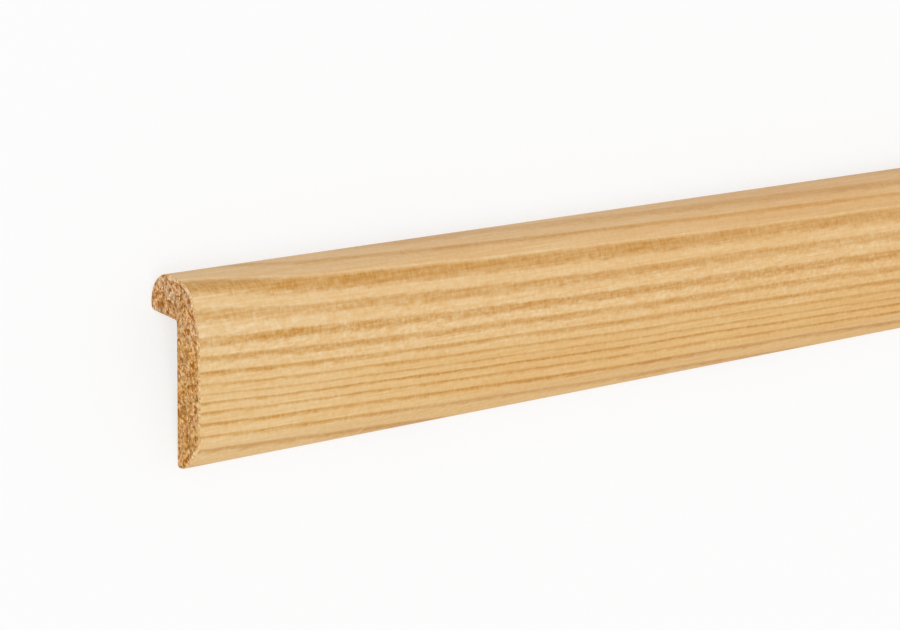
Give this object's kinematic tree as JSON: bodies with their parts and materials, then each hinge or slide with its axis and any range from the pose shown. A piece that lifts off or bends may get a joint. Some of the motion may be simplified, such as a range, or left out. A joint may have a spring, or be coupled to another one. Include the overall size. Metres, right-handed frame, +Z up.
{
  "type": "corner guard moulding",
  "caption": "Solid pine L-section moulding with a broad rounded face, a bevelled toe and a short hook; it covers and protects the outside corner or edge of a board.",
  "frame": {"origin": "middle of the length and of the width, on the floor the moulding lies on", "axes": "+X along the length of the stock, +Y across it from the bevelled toe towards the rounded head, +Z up, out of the display face"},
  "size_m": [2.4, 0.0328, 0.0134],
  "materials": {
    "pine": "planed, unfinished, sawn ends"
  },
  "bodies": {
    "root": {"corner_guard_moulding": "pine"}
  },
  "joints": []
}
